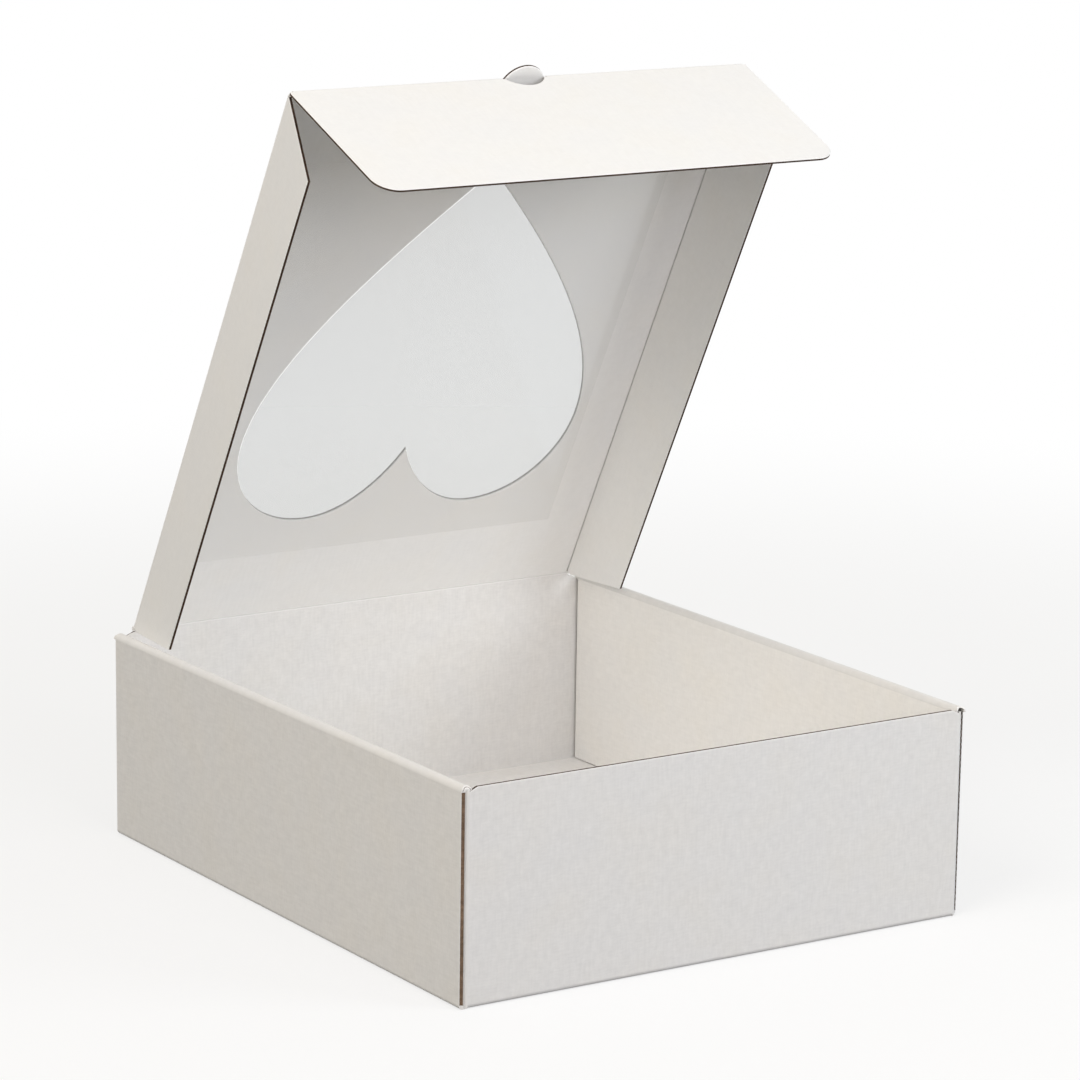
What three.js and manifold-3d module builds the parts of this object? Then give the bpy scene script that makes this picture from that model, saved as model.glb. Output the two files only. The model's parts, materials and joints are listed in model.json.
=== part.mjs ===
// Heart window hamper box: a tray folded from one sheet of white corrugated board, with rolled
// double side walls, and a hinged lid with two side flaps, a tuck flap and a heart-shaped window.
// Millimetres, +Z up, +X to the right, -Y to the front. The origin is under the tray's middle.
import * as THREE from "three";
import Module from "manifold-3d";
import { mergeVertices } from "three/addons/utils/BufferGeometryUtils.js";

const wasm = await Module();
wasm.setup();

// Tray
const WIDTH = 300;
const DEPTH = 350;
const HEIGHT = 110;
const BOARD = 1.8;
const FOLD_RADIUS = 2.2;
const LAYER_GAP = 0.3;
const SEAM = 0.1;
const FRONT_DROP = 1;
const ROLL_SETBACK = 0.4;
const INNER_WALL_END_GAP = 1.2;
const CORNER_FLAP_LENGTH = 95;
const CORNER_FLAP_DROP = 0.5;
const CORNER_FLAP_TAPER = 10;
const NOTCH_CHAMFER = 2;

// Lock tabs under the inner side walls, and their slots in the floor
const TAB_WIDTH = 40;
const TAB_TAPER = 2;
const TAB_SPACING = 170;
const TAB_END_GAP = 0.4;
const SLOT_CLEARANCE = 0.4;

// Lid. Lengths along the lid are measured from its hinge.
const LID_ANGLE = 62;
const LID_REST_GAP = 0.4;
const HINGE_GAP = 0.15;
const LID_FRONT_CLEARANCE = 1.8;
const LID_INSET = 11;
const LID_TAPER = 2;
const CREASE_HALF_GAP = 1.3;

// Thumb tab in the lid's plane, cut out of the tuck flap
const THUMB_WIDTH = 24;
const THUMB_REACH = 7.6;
const THUMB_CLEARANCE = 0.3;

// Tuck flap
const TUCK_LENGTH = 95;
const TUCK_LEAN = 4;
const TUCK_TAPER = 1.5;
const TUCK_CORNER_RADIUS = 12;

// Side flaps of the lid
const FLAP_DEPTH = 43;
const FLAP_SPLAY = 6;
const FLAP_REAR_START = 2.5;
const FLAP_FRONT_GAP = 3;
const FLAP_BEVEL = 23;

// Heart-shaped window and the film glued behind it
const HEART_FROM_HINGE = 64.5;
const HEART_LENGTH = 223.5;
const HEART_WIDTH = 210;
const HEART_LOBE_SPREAD = 104;
const HEART_WIDEST = 55.5;
const HEART_CLEFT = 42;
const HEART_CLEFT_SWELL = 0.115;
const HEART_CLEFT_RISE = 0.35;
const HEART_LOBE_FULLNESS = 0.46;
const HEART_FLANK_FULLNESS = 0.268;
const HEART_TIP_WIDTH = 0.63;
const HEART_TIP_REACH = 0.59;
const QUARTER_ROUND = 0.552;
const FILM_THICKNESS = 0.3;
const FILM_GAP = 0.3;
const FILM_WIDTH = 230;
const FILM_LENGTH = 258;
const FILM_FROM_HINGE = 43;
const FILM_OFFSET = -4;

// Curve steps
const FOLD_STEPS = 5;
const ROLL_STEPS = 14;
const CORNER_STEPS = 8;
const MOON_STEPS = 16;
const HEART_STEPS = 20;
const BEAD_SIDES = 12;

// Colours
const OUTSIDE = 0xd4d2cf;
const INSIDE = 0xdcd7d0;
const LID_WHITE = 0xe6e4df;
const CREASE = 0xc9c5be;
const CLEAR_FILM = 0xdfe6e6;
const BOARD_ROUGHNESS = 0.9;
const FILM_ROUGHNESS = 0.08;
const FILM_OPACITY = 0.3;

// Places worked out from the sizes
const halfWidth = WIDTH / 2;
const halfDepth = DEPTH / 2;
const sideThickness = 3 * BOARD + 2 * LAYER_GAP;
const rollRadius = sideThickness / 2;
const rollBase = HEIGHT - rollRadius;
const wallTop = rollBase - SEAM;
const innerFace = halfWidth - sideThickness;
const flapFace = halfWidth - BOARD - LAYER_GAP;
const endWallHalf = flapFace - FOLD_RADIUS - SEAM;
const notchTop = rollBase - CORNER_FLAP_DROP;
const hingeY = halfDepth - BOARD / 2;
const hingeZ = HEIGHT + LID_REST_GAP + BOARD / 2;
const hingeEndGap = BOARD / 2 + HINGE_GAP;
const lidLength = DEPTH - 2 * BOARD - LID_FRONT_CLEARANCE;
const foldRear = halfWidth - LID_INSET - BOARD / 2;
const foldFront = foldRear - LID_TAPER;
const taperAngle = Math.atan2(LID_TAPER, lidLength);

const X = new THREE.Vector3(1, 0, 0);
const Y = new THREE.Vector3(0, 1, 0);
const Z = new THREE.Vector3(0, 0, 1);
const drawnIn = {
  yz: new THREE.Matrix4().makeBasis(Y, Z, X),
  xz: new THREE.Matrix4().makeBasis(X, Z, Y.clone().negate()),
  xy: new THREE.Matrix4(),
};

function radians(degrees) {
  return THREE.MathUtils.degToRad(degrees);
}

function point(x, y) {
  return new THREE.Vector2(x, y);
}

// Points on an arc between two angles in degrees.
function arc(x, y, radius, from, to, steps) {
  return Array.from({ length: steps + 1 }, (_, i) => {
    const angle = radians(from + ((to - from) * i) / steps);
    return point(x + radius * Math.cos(angle), y + radius * Math.sin(angle));
  });
}

// A flat outline, pushed out square to its plane and centred on that plane.
function slab(points, thickness, plane, hole) {
  const turns = THREE.ShapeUtils.isClockWise(points) ? [...points].reverse() : points;
  const shape = new THREE.Shape(turns);
  if (hole) shape.holes.push(new THREE.Path(hole));
  const geometry = new THREE.ExtrudeGeometry(shape, { depth: thickness, bevelEnabled: false });
  return geometry.translate(0, 0, -thickness / 2).applyMatrix4(drawnIn[plane]);
}

function solid(geometry) {
  const bare = geometry.clone();
  bare.deleteAttribute("normal");
  bare.deleteAttribute("uv");
  const merged = mergeVertices(bare);
  return new wasm.Manifold(new wasm.Mesh({
    numProp: 3,
    vertProperties: new Float32Array(merged.attributes.position.array),
    triVerts: new Uint32Array(merged.index.array),
  }));
}

function geometryOf(manifold) {
  const faces = manifold.getMesh();
  const geometry = new THREE.BufferGeometry();
  geometry.setAttribute("position", new THREE.BufferAttribute(faces.vertProperties, 3));
  geometry.setIndex(new THREE.BufferAttribute(faces.triVerts, 1));
  geometry.computeVertexNormals();
  return geometry;
}

// A folded strip of board, trimmed to the outline that was die-cut before it was folded.
function trimmed(folded, outline) {
  return geometryOf(solid(folded).intersect(solid(outline)));
}

function mesh(name, geometry, colour, roughness = BOARD_ROUGHNESS) {
  const material = new THREE.MeshStandardMaterial({ color: colour, roughness, metalness: 0 });
  const piece = new THREE.Mesh(geometry, material);
  piece.name = name;
  return piece;
}

// Section of a wall whose outer face is at -face: a quarter bend at the foot, then the upright.
function wallSection(face, top) {
  const bend = -face + FOLD_RADIUS;
  return [
    ...arc(bend, FOLD_RADIUS, FOLD_RADIUS, 270, 180, FOLD_STEPS),
    point(-face, top),
    point(-face + BOARD, top),
    ...arc(bend, FOLD_RADIUS, FOLD_RADIUS - BOARD, 180, 270, FOLD_STEPS),
  ];
}

function basePanel() {
  const x = halfWidth - FOLD_RADIUS - SEAM;
  const y = halfDepth - FOLD_RADIUS - SEAM;
  const floor = [point(-x, -y), point(x, -y), point(x, y), point(-x, y)];
  const slotIn = innerFace - SLOT_CLEARANCE;
  const slotOut = innerFace + BOARD + SLOT_CLEARANCE;
  const slotHalf = TAB_WIDTH / 2 + SLOT_CLEARANCE;
  let panel = solid(slab(floor, BOARD, "xy"));
  for (const side of [-1, 1]) {
    for (const along of [-TAB_SPACING / 2, TAB_SPACING / 2]) {
      const slot = [
        point(side * slotIn, along - slotHalf),
        point(side * slotOut, along - slotHalf),
        point(side * slotOut, along + slotHalf),
        point(side * slotIn, along + slotHalf),
      ];
      panel = panel.subtract(solid(slab(slot, 2 * BOARD, "xy")));
    }
  }
  return mesh("base_panel", geometryOf(panel).translate(0, 0, BOARD / 2), INSIDE);
}

// A front or back wall: the top edge drops at both ends, clear of the rolled side walls.
function endWall(name, top, topHalf) {
  const notchX = innerFace - SLOT_CLEARANCE;
  const outline = [
    point(-endWallHalf, -BOARD),
    point(endWallHalf, -BOARD),
    point(endWallHalf, notchTop),
    point(notchX, notchTop),
    point(topHalf, top),
    point(-topHalf, top),
    point(-notchX, notchTop),
    point(-endWallHalf, notchTop),
  ];
  const folded = slab(wallSection(halfDepth, top + BOARD), WIDTH, "yz");
  return mesh(name, trimmed(folded, slab(outline, 2 * DEPTH, "xz")), OUTSIDE);
}

function outerWall(name) {
  return mesh(name, slab(wallSection(halfWidth, wallTop), DEPTH, "xz"), OUTSIDE);
}

// The web between the two creases at the top of a side wall, bent right over.
function rollTop(name) {
  const centre = -halfWidth + rollRadius;
  const section = [
    ...arc(centre, rollBase, rollRadius, 180, 0, ROLL_STEPS),
    ...arc(centre, rollBase, rollRadius - BOARD, 0, 180, ROLL_STEPS),
  ];
  return mesh(name, slab(section, DEPTH - 2 * ROLL_SETBACK, "xz"), OUTSIDE);
}

function innerWall(name) {
  const end = halfDepth - BOARD - INNER_WALL_END_GAP;
  const foot = BOARD + LAYER_GAP;
  const outline = [point(end, wallTop), point(-end, wallTop), point(-end, foot)];
  for (const along of [-TAB_SPACING / 2, TAB_SPACING / 2]) {
    outline.push(
      point(along - TAB_WIDTH / 2, foot),
      point(along - TAB_WIDTH / 2 + TAB_TAPER, TAB_END_GAP),
      point(along + TAB_WIDTH / 2 - TAB_TAPER, TAB_END_GAP),
      point(along + TAB_WIDTH / 2, foot),
    );
  }
  outline.push(point(end, foot));
  const piece = mesh(name, slab(outline, BOARD, "yz"), INSIDE);
  piece.geometry.translate(-innerFace - BOARD / 2, 0, 0);
  return piece;
}

// A flap folded back from the front wall's end, between the side wall's two layers.
function cornerFlap(name, side) {
  const bendX = flapFace - FOLD_RADIUS;
  const bendY = -halfDepth + FOLD_RADIUS;
  const end = -halfDepth + CORNER_FLAP_LENGTH;
  const plan = [
    ...arc(bendX, bendY, FOLD_RADIUS, 270, 360, FOLD_STEPS),
    point(flapFace, end),
    point(flapFace - BOARD, end),
    ...arc(bendX, bendY, FOLD_RADIUS - BOARD, 360, 270, FOLD_STEPS),
  ].map((p) => point(p.x * side, p.y));
  const foot = FOLD_RADIUS + SLOT_CLEARANCE;
  const outline = [
    point(-halfDepth - BOARD, foot),
    point(end - CORNER_FLAP_TAPER, foot),
    point(end, foot + CORNER_FLAP_TAPER),
    point(end, notchTop - CORNER_FLAP_TAPER),
    point(end - CORNER_FLAP_TAPER, notchTop),
    point(-halfDepth - BOARD, notchTop),
  ];
  return mesh(name, trimmed(slab(plan, 2 * HEIGHT, "xy"), slab(outline, 2 * WIDTH, "yz")), INSIDE);
}

function tray() {
  const topHalf = innerFace - SLOT_CLEARANCE - NOTCH_CHAMFER;
  const leftPieces = [
    outerWall("left_outer_wall"),
    rollTop("left_roll_top"),
    innerWall("left_inner_wall"),
    endWall("front_wall", HEIGHT - FRONT_DROP, topHalf),
    cornerFlap("front_left_corner_flap", -1),
    cornerFlap("front_right_corner_flap", 1),
  ];
  const rightPieces = [
    outerWall("right_outer_wall"),
    rollTop("right_roll_top"),
    innerWall("right_inner_wall"),
    endWall("back_wall", hingeZ - hingeEndGap, topHalf),
    cornerFlap("back_right_corner_flap", -1),
    cornerFlap("back_left_corner_flap", 1),
  ];
  const turned = new THREE.Group();
  turned.rotation.z = Math.PI;
  turned.add(...rightPieces);
  return [basePanel(), ...leftPieces, turned];
}

// Half-moon cut line between the thumb tab and the tuck flap, from one side to the other:
// an arc as wide as halfSpan at the fold and as deep as reach, started at a given depth.
function moon(halfSpan, reach, start) {
  const radius = (halfSpan ** 2 + reach ** 2) / (2 * reach);
  const centre = radius - reach;
  const half = THREE.MathUtils.radToDeg(Math.acos((centre + start) / radius));
  return arc(0, centre, radius, 270 + half, 270 - half, MOON_STEPS);
}

// The window's outline. Each half is three curves: from the cleft round to the lobe's lowest
// point, out to the widest point, and along the flank to the tip near the lid's front.
function heartHole() {
  const spread = HEART_LOBE_SPREAD / 2;
  const half = HEART_WIDTH / 2;
  const lobe = -HEART_FROM_HINGE;
  const cleft = lobe - HEART_CLEFT;
  const widest = lobe - HEART_WIDEST;
  const tip = lobe - HEART_LENGTH;
  const curves = [
    [
      point(0, cleft),
      point(spread * HEART_CLEFT_SWELL, cleft + HEART_CLEFT * HEART_CLEFT_RISE),
      point(spread * HEART_LOBE_FULLNESS, lobe),
      point(spread, lobe),
    ],
    [
      point(spread, lobe),
      point(spread + (half - spread) * QUARTER_ROUND, lobe),
      point(half, widest + HEART_WIDEST * QUARTER_ROUND),
      point(half, widest),
    ],
    [
      point(half, widest),
      point(half, widest + (tip - widest) * HEART_FLANK_FULLNESS),
      point(half * HEART_TIP_WIDTH, widest + (tip - widest) * HEART_TIP_REACH),
      point(0, tip),
    ],
  ];
  const right = curves.flatMap((handles) => {
    return new THREE.CubicBezierCurve(...handles).getPoints(HEART_STEPS).slice(0, -1);
  });
  const left = right.slice(1).map((p) => point(-p.x, p.y)).reverse();
  return [...right, point(0, tip), ...left];
}

function lidPanel() {
  const rearX = foldRear - CREASE_HALF_GAP;
  const frontX = foldFront - CREASE_HALF_GAP;
  const front = -lidLength + CREASE_HALF_GAP;
  const thumb = THUMB_WIDTH / 2;
  const thumbEdge = moon(thumb, THUMB_REACH, 0).map((p) => point(p.x, p.y - lidLength));
  const outline = [
    point(-rearX, -hingeEndGap),
    point(rearX, -hingeEndGap),
    point(frontX, front),
    point(thumb, front),
    ...thumbEdge,
    point(-thumb, front),
    point(-frontX, front),
  ];
  return mesh("lid_panel", slab(outline, BOARD, "xy", heartHole()), LID_WHITE);
}

function windowFilm() {
  const half = FILM_WIDTH / 2;
  const rear = -FILM_FROM_HINGE;
  const front = rear - FILM_LENGTH;
  const outline = [
    point(FILM_OFFSET - half, rear),
    point(FILM_OFFSET + half, rear),
    point(FILM_OFFSET + half, front),
    point(FILM_OFFSET - half, front),
  ];
  const piece = mesh("window_film", slab(outline, FILM_THICKNESS, "xy"), CLEAR_FILM, FILM_ROUGHNESS);
  piece.geometry.translate(0, 0, -(BOARD + FILM_THICKNESS) / 2 - FILM_GAP);
  piece.material.transparent = true;
  piece.material.opacity = FILM_OPACITY;
  return piece;
}

// A crease: the bead of crushed board on a fold's axis, along X.
function bead(name, from, to) {
  const geometry = new THREE.CylinderGeometry(BOARD / 2, BOARD / 2, to - from, BEAD_SIDES);
  geometry.rotateZ(Math.PI / 2).translate((from + to) / 2, 0, 0);
  return mesh(name, geometry, CREASE);
}

function tuckFlap() {
  const foldHalf = foldFront + BOARD / 2 - SEAM;
  const endHalf = foldHalf - TUCK_TAPER;
  const r = TUCK_CORNER_RADIUS;
  const end = -TUCK_LENGTH;
  const notch = moon(THUMB_WIDTH / 2 + THUMB_CLEARANCE, THUMB_REACH + THUMB_CLEARANCE, CREASE_HALF_GAP);
  const outline = [
    ...notch,
    point(-foldHalf, -CREASE_HALF_GAP),
    ...arc(-endHalf + r, end + r, r, 180, 270, CORNER_STEPS),
    ...arc(endHalf - r, end + r, r, 270, 360, CORNER_STEPS),
    point(foldHalf, -CREASE_HALF_GAP),
  ];
  const group = new THREE.Group();
  group.position.set(0, -lidLength, 0);
  group.rotation.x = radians(90 - TUCK_LEAN);
  group.add(mesh("tuck_flap", slab(outline, BOARD, "xy"), LID_WHITE));
  return group;
}

// A side flap of the lid. Its rear end is cut so that it lies level over the side wall's top
// while the lid stands open, and its front end is bevelled behind the tuck flap.
function sideFlap(name, side) {
  const slope = radians(LID_ANGLE);
  const rearAt = (depth) => (depth * Math.cos(slope) - BOARD / 2) / Math.sin(slope);
  const levelStart = (FLAP_REAR_START * Math.sin(slope) + BOARD / 2) / Math.cos(slope);
  const front = lidLength - FLAP_FRONT_GAP;
  const outline = [
    point(CREASE_HALF_GAP, -FLAP_REAR_START),
    point(levelStart, -FLAP_REAR_START),
    point(FLAP_DEPTH, -rearAt(FLAP_DEPTH)),
    point(FLAP_DEPTH, -lidLength + FLAP_BEVEL),
    point(CREASE_HALF_GAP, -front),
  ].map((p) => point(p.x * side, p.y));
  const fold = new THREE.Group();
  fold.rotation.y = side * radians(90 - FLAP_SPLAY);
  fold.add(mesh(`lid_${name}_flap`, slab(outline, BOARD, "xy"), OUTSIDE));
  const crease = bead(`${name}_flap_crease`, FLAP_REAR_START, front);
  crease.geometry.rotateZ(-Math.PI / 2);
  const group = new THREE.Group();
  group.position.set(side * foldRear, 0, 0);
  group.rotation.z = -side * taperAngle;
  group.add(fold, crease);
  return group;
}

function lid() {
  const creaseEnd = foldFront - CREASE_HALF_GAP;
  const thumbEnd = THUMB_WIDTH / 2 + CREASE_HALF_GAP;
  const tuckCreases = [
    bead("tuck_crease_left", -creaseEnd, -thumbEnd),
    bead("tuck_crease_right", thumbEnd, creaseEnd),
  ];
  for (const crease of tuckCreases) crease.geometry.translate(0, -lidLength, 0);
  const group = new THREE.Group();
  group.position.set(0, hingeY, hingeZ);
  group.rotation.x = -radians(LID_ANGLE);
  group.add(
    lidPanel(),
    windowFilm(),
    bead("lid_hinge_crease", -foldRear, foldRear),
    ...tuckCreases,
    tuckFlap(),
    sideFlap("left", -1),
    sideFlap("right", 1),
  );
  return group;
}

const box = new THREE.Group();
box.add(...tray(), lid());

export default box;
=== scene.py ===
import json
import math

import bpy
from mathutils import Matrix, Vector


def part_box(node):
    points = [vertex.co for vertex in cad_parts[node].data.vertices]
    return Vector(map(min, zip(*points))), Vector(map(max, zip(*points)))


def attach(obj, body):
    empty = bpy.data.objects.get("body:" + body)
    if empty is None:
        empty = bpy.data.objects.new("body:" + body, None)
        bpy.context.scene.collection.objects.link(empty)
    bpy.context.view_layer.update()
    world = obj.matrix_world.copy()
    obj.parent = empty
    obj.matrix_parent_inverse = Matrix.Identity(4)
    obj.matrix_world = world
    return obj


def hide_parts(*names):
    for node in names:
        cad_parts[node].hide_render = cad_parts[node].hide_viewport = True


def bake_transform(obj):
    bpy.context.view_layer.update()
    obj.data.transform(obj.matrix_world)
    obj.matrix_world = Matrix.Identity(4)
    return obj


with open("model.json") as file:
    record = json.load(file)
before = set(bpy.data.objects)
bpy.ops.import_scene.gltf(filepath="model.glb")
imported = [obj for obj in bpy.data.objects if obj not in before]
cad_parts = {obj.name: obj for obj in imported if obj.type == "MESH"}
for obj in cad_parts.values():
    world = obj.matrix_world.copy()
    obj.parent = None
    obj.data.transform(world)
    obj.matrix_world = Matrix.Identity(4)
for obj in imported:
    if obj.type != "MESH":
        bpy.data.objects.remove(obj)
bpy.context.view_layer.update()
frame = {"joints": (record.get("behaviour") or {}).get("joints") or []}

# Camera and studio. The camera stands at the photograph's angle, in front of the box and to its
# left, with a long lens. The floor and what is behind it are plain white.
FRAME_SIDE = 1080
FOCAL_PIXELS = 4511.6
CAMERA_PLACE = (-1.23679, -1.90242, 0.68197)
CAMERA_YAW, CAMERA_PITCH, CAMERA_ROLL = 33.155, 12.51, 0.826
SENSOR = 36.0

yaw, pitch, roll = (math.radians(a) for a in (CAMERA_YAW, CAMERA_PITCH, CAMERA_ROLL))
look = Vector((math.sin(yaw) * math.cos(pitch), math.cos(yaw) * math.cos(pitch), -math.sin(pitch)))
level = Vector((math.cos(yaw), -math.sin(yaw), 0))
upright = level.cross(look)
right = level * math.cos(roll) + upright * math.sin(roll)
up = upright * math.cos(roll) - level * math.sin(roll)

scene = bpy.context.scene
scene.view_settings.view_transform = "Standard"
camera = bpy.data.objects.new("camera", bpy.data.cameras.new("camera"))
camera.data.sensor_width = SENSOR
camera.data.lens = FOCAL_PIXELS / FRAME_SIDE * SENSOR
camera.data.clip_end = 50
camera.matrix_world = Matrix.Translation(CAMERA_PLACE) @ Matrix((right, up, -look)).transposed().to_4x4()
scene.collection.objects.link(camera)
scene.camera = camera

FLOOR_SIDE = 30
FLOOR_COLOUR, FLOOR_BOUNCE = (0.88, 0.88, 0.88, 1), (0.2, 0.2, 0.2, 1)
FLOOR_GLOW = 0.65
SHADE_REACH = 0.5
OPEN_REACH = 1.3
ROOM_LIGHT, ROOM_COLOUR = 0.58, (1, 0.98, 0.92, 1)
LAMP_AIM = Vector((0, 0, 0.15))
COLOUR_A, COLOUR_B, COLOUR_RESULT = 6, 7, 2  # places of the Mix node's colour sockets


def socket(node, name, value):
    node.inputs[name].default_value = value


def seen_directly(nodes, links):
    """One where the camera sees a surface itself, in a mirror or through something clear."""
    path = nodes.new("ShaderNodeLightPath")
    total = path.outputs["Is Camera Ray"]
    for ray in ("Is Glossy Ray", "Is Transmission Ray"):
        add = nodes.new("ShaderNodeMath")
        add.operation = "MAXIMUM"
        links.new(total, add.inputs[0])
        links.new(path.outputs[ray], add.inputs[1])
        total = add.outputs[0]
    return total


world = bpy.data.worlds.new("studio")
scene.world = world
world.use_nodes = True
nodes, links = world.node_tree.nodes, world.node_tree.links
nodes.clear()
lighting, white = nodes.new("ShaderNodeBackground"), nodes.new("ShaderNodeBackground")
socket(lighting, "Color", ROOM_COLOUR)
socket(lighting, "Strength", ROOM_LIGHT)
socket(white, "Color", (1, 1, 1, 1))
mix, out = nodes.new("ShaderNodeMixShader"), nodes.new("ShaderNodeOutputWorld")
links.new(seen_directly(nodes, links), mix.inputs[0])
links.new(lighting.outputs[0], mix.inputs[1])
links.new(white.outputs[0], mix.inputs[2])
links.new(mix.outputs[0], out.inputs[0])

bpy.ops.mesh.primitive_plane_add(size=FLOOR_SIDE, location=(0, 0, 0))
floor = bpy.context.object
floor.name = "floor"
paint = bpy.data.materials.new("pale floor")
paint.use_nodes = True
nodes, links = paint.node_tree.nodes, paint.node_tree.links
shader = nodes["Principled BSDF"]
bounce = nodes.new("ShaderNodeMix")
bounce.data_type = "RGBA"
socket(bounce, COLOUR_A, FLOOR_BOUNCE)
socket(bounce, COLOUR_B, FLOOR_COLOUR)
links.new(seen_directly(nodes, links), bounce.inputs[0])
links.new(bounce.outputs[COLOUR_RESULT], shader.inputs["Base Color"])
socket(shader, "Roughness", 0.9)
socket(shader, "Specular IOR Level", 0.1)
glow, mix = nodes.new("ShaderNodeEmission"), nodes.new("ShaderNodeMixShader")
places, length = nodes.new("ShaderNodeTexCoord"), nodes.new("ShaderNodeVectorMath")
length.operation = "LENGTH"
links.new(places.outputs["Object"], length.inputs[0])
fade, share = nodes.new("ShaderNodeMapRange"), nodes.new("ShaderNodeMath")
fade.interpolation_type = "SMOOTHSTEP"
for name, value in (("From Min", SHADE_REACH), ("From Max", OPEN_REACH), ("To Min", FLOOR_GLOW)):
    socket(fade, name, value)
links.new(length.outputs["Value"], fade.inputs["Value"])
share.operation = "MULTIPLY"
links.new(fade.outputs["Result"], share.inputs[0])
links.new(seen_directly(nodes, links), share.inputs[1])
links.new(share.outputs[0], mix.inputs[0])
links.new(shader.outputs[0], mix.inputs[1])
links.new(glow.outputs[0], mix.inputs[2])
links.new(mix.outputs[0], nodes["Material Output"].inputs[0])
floor.data.materials.append(paint)


def lamp(name, place, side, watts, colour):
    """A square soft light of the given side in metres, turned to the box."""
    data = bpy.data.lights.new(name, "AREA")
    data.shape, data.size, data.energy, data.color = "SQUARE", side, watts, colour
    made = bpy.data.objects.new(name, data)
    made.location = place
    made.rotation_euler = (LAMP_AIM - Vector(place)).to_track_quat("-Z", "Y").to_euler()
    scene.collection.objects.link(made)


lamp("left_panel", (-1.8, -0.6, 1.9), 1.4, 21.5, (1, 0.95, 0.91))
lamp("low_left_panel", (-2.2, -1.0, 0.9), 1.2, 5.5, (1, 0.87, 0.69))
lamp("front_panel", (0, -2.4, 1.4), 1.2, 8.0, (0.84, 0.85, 1))
lamp("low_front_panel", (-0.2, -2.7, 0.75), 1.2, 7.0, (0.97, 0.92, 1))
lamp("right_panel", (0.9, -1.1, 0.7), 0.7, 7, (0.91, 0.96, 1))

# Floor of the tray: one panel of the sheet that the whole box is folded from, white paper on both
# faces with a brown fluted paper between them. Four slots take the lock tabs of the side walls.
LINER = 0.00024
FLUTE_PITCH = 0.0032
FLUTE_PAPER = 0.00016
FLUTE_ROUNDING, FLUTE_ROUND_STEPS = 0.2, 3
PRESSED_REACH, PRESSED_RING = 0.0006, 0.0002
TRIM = 0.004
FOLD_RADIUS = 0.0022
SLOT_WIDTH, SLOT_LENGTH, SLOT_SPACING = 0.0026, 0.0408, 0.17
SIDE_LAYER_GAP = 0.0003
CLOUD_SIZE, MOTTLE_SIZE = 0.03, 0.0045
FIBRE_SIZE, FIBRE_STRETCH = 0.0011, (4, 1, 1)
STREAK_SIZE, STREAK_STRETCH = 0.0014, (1, 6, 1)
FUZZ_SIZE, FUZZ_DEPTH = 0.0008, 0.00004
WARM_TINT, COOL_TINT = (1, 0.995, 0.985), (0.99, 0.993, 1)
WAVES_PER_METRE = 20 / math.tau  # of the wave texture at a scale of 1
SMOOTH_ANGLE = math.radians(32)
WHITE, BROWN = 0, 1  # places of a board's two papers among its materials

tray_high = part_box("right_outer_wall")[1]
half_width, half_depth = tray_high.x, tray_high.y
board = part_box("base_panel")[1].z
inner_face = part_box("right_inner_wall")[0].x
X, Y, Z = (Vector(axis) for axis in ((1, 0, 0), (0, 1, 0), (0, 0, 1)))


def pick(piece):
    bpy.ops.object.select_all(action="DESELECT")
    piece.select_set(True)
    bpy.context.view_layer.objects.active = piece


def edit(piece, kind, chosen=None):
    """Opens a piece in edit mode with all of it selected, or only the elements that are chosen."""
    pick(piece)
    bpy.ops.object.mode_set(mode="EDIT")
    bpy.ops.mesh.select_mode(type=kind)
    bpy.ops.mesh.select_all(action="SELECT" if chosen is None else "DESELECT")
    if chosen is None:
        return
    bpy.ops.object.mode_set(mode="OBJECT")
    mesh = piece.data
    for element in {"VERT": mesh.vertices, "EDGE": mesh.edges, "FACE": mesh.polygons}[kind]:
        element.select = chosen(element)
    bpy.ops.object.mode_set(mode="EDIT")


def done(piece):
    bpy.ops.object.mode_set(mode="OBJECT")
    return piece


def block(name, low, high):
    """A solid between two corners, to be shaped further."""
    low, high = Vector(low), Vector(high)
    bpy.ops.object.select_all(action="DESELECT")
    bpy.ops.mesh.primitive_cube_add(size=1, location=(low + high) / 2, scale=high - low)
    bpy.ops.object.transform_apply()
    bpy.context.object.name = name
    return bpy.context.object


def slice_through(piece, point, normal, clear=False):
    """Cuts a piece along a plane. With clear, the part on the side of the normal is taken away."""
    edit(piece, "FACE")
    across = normal.normalized()
    bpy.ops.mesh.bisect(plane_co=point, plane_no=across, use_fill=clear, clear_outer=clear)
    done(piece)


def applied(piece, name, kind, **settings):
    modifier = piece.modifiers.new(name, kind)
    for key, value in settings.items():
        setattr(modifier, key, value)
    pick(piece)
    bpy.ops.object.modifier_apply(modifier=name)
    return piece


def cut(piece, tool, operation, keep_tool=False):
    applied(piece, "cut", "BOOLEAN", operation=operation, solver="EXACT", object=tool)
    if not keep_tool:
        bpy.data.objects.remove(tool)
    return piece


def joined(name, *pieces):
    """Makes one piece of several. The first lends its object."""
    bpy.ops.object.select_all(action="DESELECT")
    for piece in pieces:
        piece.select_set(True)
    bpy.context.view_layer.objects.active = pieces[0]
    bpy.ops.object.join()
    pieces[0].name = name
    return pieces[0]


def placed(piece, matrix):
    """Puts a piece where it belongs, with its object at the origin and its place in its mesh."""
    piece.matrix_world = matrix
    pick(piece)
    bpy.ops.object.transform_apply()
    return piece


def laid(x_axis, y_axis, origin=(0, 0, 0)):
    """The matrix that lays a flat board's own X and Y along two directions of the box."""
    turn = Matrix((x_axis, y_axis, x_axis.cross(y_axis))).transposed().to_4x4()
    return Matrix.Translation(origin) @ turn


def corners(piece):
    places = [v.co for v in piece.data.vertices]
    low = Vector(min(p[i] for p in places) for i in range(3))
    high = Vector(max(p[i] for p in places) for i in range(3))
    return low, high


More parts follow.
